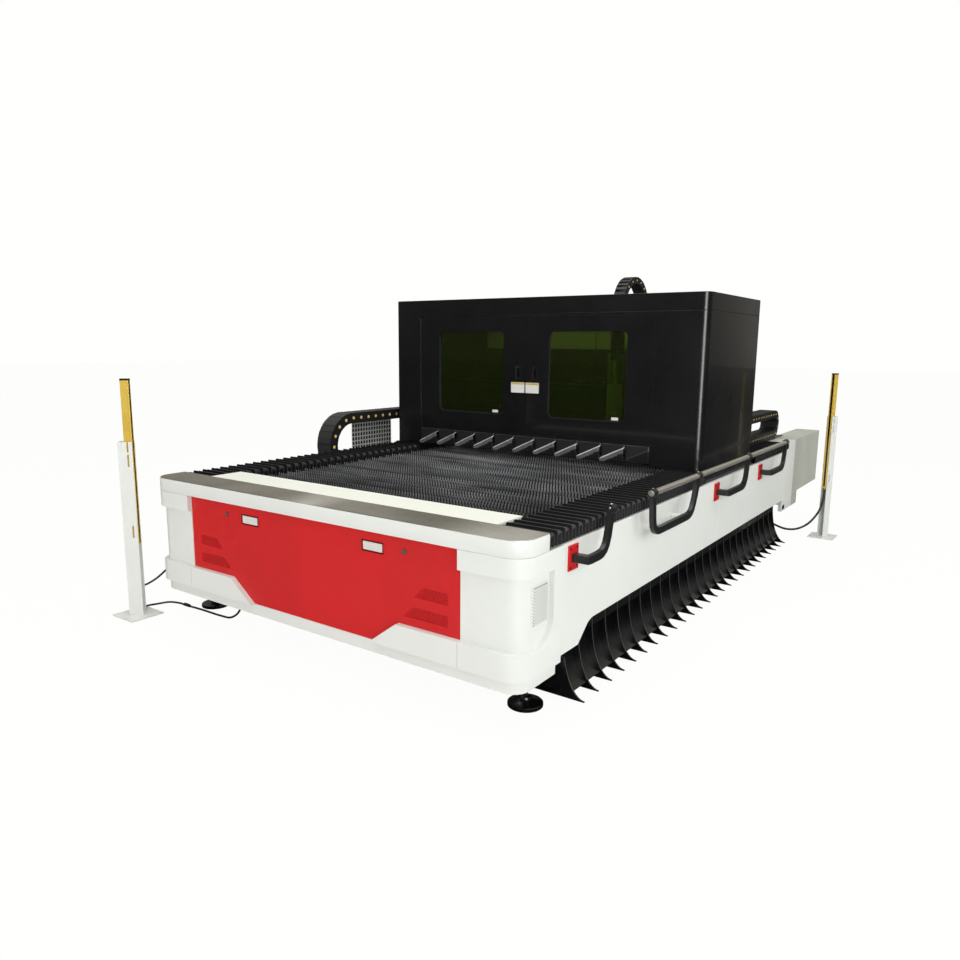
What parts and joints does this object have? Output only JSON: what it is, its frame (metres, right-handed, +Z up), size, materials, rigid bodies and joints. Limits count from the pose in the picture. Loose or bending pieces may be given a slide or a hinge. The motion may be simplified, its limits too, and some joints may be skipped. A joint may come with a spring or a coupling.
{
  "type": "fiber laser cutting machine",
  "caption": "Flat-bed laser cutting machine: toothed slat bed in a white frame, black gantry enclosure with green windows, bellows, drag chains, handrail and light-curtain posts.",
  "frame": {"origin": "on the floor, under the middle of the bounding box of everything but the cables", "axes": "+X to the right along the front, +Y from the front cap to the rear cabinet along the bed, +Z up"},
  "size_m": [3.123, 5.5524, 2.1027],
  "materials": {
    "white_paint": "semi-gloss powder coat",
    "cream_paint": "satin powder coat",
    "red_paint": "gloss",
    "black_paint": "satin textured powder coat",
    "grey_paint": "satin",
    "light_grey_paint": "satin",
    "raw_steel": "mill finish",
    "stainless": "brushed",
    "cast_iron": "ground",
    "bellows_cloth": "coated cloth",
    "black_nylon": "matte",
    "black_rubber": "matte",
    "yellow_paint": "satin",
    "green_glass": "polished",
    "pvc": "smooth"
  },
  "bodies": {
    "machine": {"bed_frame": "grey_paint", "foot_front_left": "cast_iron", "foot_front_right": "cast_iron", "foot_rear_left": "cast_iron", "foot_rear_right": "cast_iron", "slat_bed": "raw_steel", "front_cap": "white_paint", "front_top_plate": "stainless", "inner_plate": "cream_paint", "front_cabinet": "white_paint", "louvre_right": "white_paint", "side_panel_left": "white_paint", "side_panel_right": "white_paint", "rib_skirt_left": "black_paint", "rib_skirt_right": "black_paint", "guide_rail_left": "raw_steel", "guide_rail_right": "raw_steel", "bellows_front_left": "bellows_cloth", "bellows_front_right": "bellows_cloth", "bellows_rear_left": "bellows_cloth", "bellows_rear_right": "bellows_cloth", "rear_cover": "white_paint", "rear_cabinet": "light_grey_paint", "side_chain": "black_nylon", "chain_tray": "light_grey_paint", "chain_guard": "light_grey_paint", "hose_chain": "black_nylon", "hose_tray": "light_grey_paint", "handrail_tube": "stainless", "handle_loop": "black_nylon", "handrail_arm_1": "black_nylon", "handrail_arm_2": "black_nylon", "handrail_arm_3": "black_nylon", "post_left": "white_paint", "post_right": "white_paint", "light_curtain_left": "yellow_paint", "light_curtain_right": "yellow_paint", "cable_left_upper": "pvc", "cable_left_lower": "pvc", "cable_right": "pvc"},
    "front_panel": {"front_panel": "red_paint"},
    "latch_left": {"latch_left": "stainless"},
    "latch_right": {"latch_right": "stainless"},
    "lock_left": {"lock_left": "stainless"},
    "lock_right": {"lock_right": "stainless"},
    "gantry": {"gantry_beam": "grey_paint", "enclosure": "black_paint", "enclosure_lid": "black_paint", "flap_curtain": "black_rubber", "side_drive_left": "black_paint", "side_drive_right": "black_paint", "cross_chain": "black_nylon"},
    "door_left": {"door_left": "black_paint", "window_left": "green_glass"},
    "door_right": {"door_right": "black_paint", "window_right": "green_glass"},
    "cross_carriage": {"cross_carriage": "grey_paint", "lift_chain": "black_nylon"},
    "cutting_head": {"cutting_head": "stainless"}
  },
  "joints": [
    {"name": "gantry_slide", "type": "slide", "parent": "machine", "child": "gantry", "axis": [0, 1, 0], "range_m": [-1.6, 0.25], "deforming": ["bellows_front_left", "bellows_front_right", "bellows_rear_left", "bellows_rear_right", "side_chain", "hose_chain"]},
    {"name": "carriage_slide", "type": "slide", "parent": "gantry", "child": "cross_carriage", "axis": [1, 0, 0], "range_m": [-1.25, 0.4], "deforming": ["cross_chain"]},
    {"name": "head_slide", "type": "slide", "parent": "cross_carriage", "child": "cutting_head", "axis": [0, 0, 1], "range_m": [-0.04, 0.12], "deforming": ["lift_chain"]},
    {"name": "door_left_hinge", "type": "hinge", "parent": "gantry", "child": "door_left", "pos_m": [-1.08053, -0.45175, 1], "axis": [0, 0, 1], "range_deg": [-105, 0]},
    {"name": "door_right_hinge", "type": "hinge", "parent": "gantry", "child": "door_right", "pos_m": [0.82116, -0.45175, 1], "axis": [0, 0, 1], "range_deg": [0, 105]},
    {"name": "front_panel_pull", "type": "slide", "parent": "machine", "child": "front_panel", "axis": [0, -1, 0], "range_m": [0, 0.2]},
    {"name": "latch_left_hinge", "type": "hinge", "parent": "front_panel", "child": "latch_left", "pos_m": [-0.52605, -2.54375, 0.7], "axis": [-1, 0, 0], "range_deg": [0, 35], "stiffness_Nm_per_rad": 0.4},
    {"name": "latch_right_hinge", "type": "hinge", "parent": "front_panel", "child": "latch_right", "pos_m": [0.35395, -2.54375, 0.7], "axis": [-1, 0, 0], "range_deg": [0, 35], "stiffness_Nm_per_rad": 0.4},
    {"name": "lock_left_turn", "type": "hinge", "parent": "front_panel", "child": "lock_left", "pos_m": [-0.71805, -2.54475, 0.691], "axis": [0, 1, 0], "range_deg": [0, 90]},
    {"name": "lock_right_turn", "type": "hinge", "parent": "front_panel", "child": "lock_right", "pos_m": [0.54595, -2.54475, 0.691], "axis": [0, 1, 0], "range_deg": [0, 90]}
  ]
}
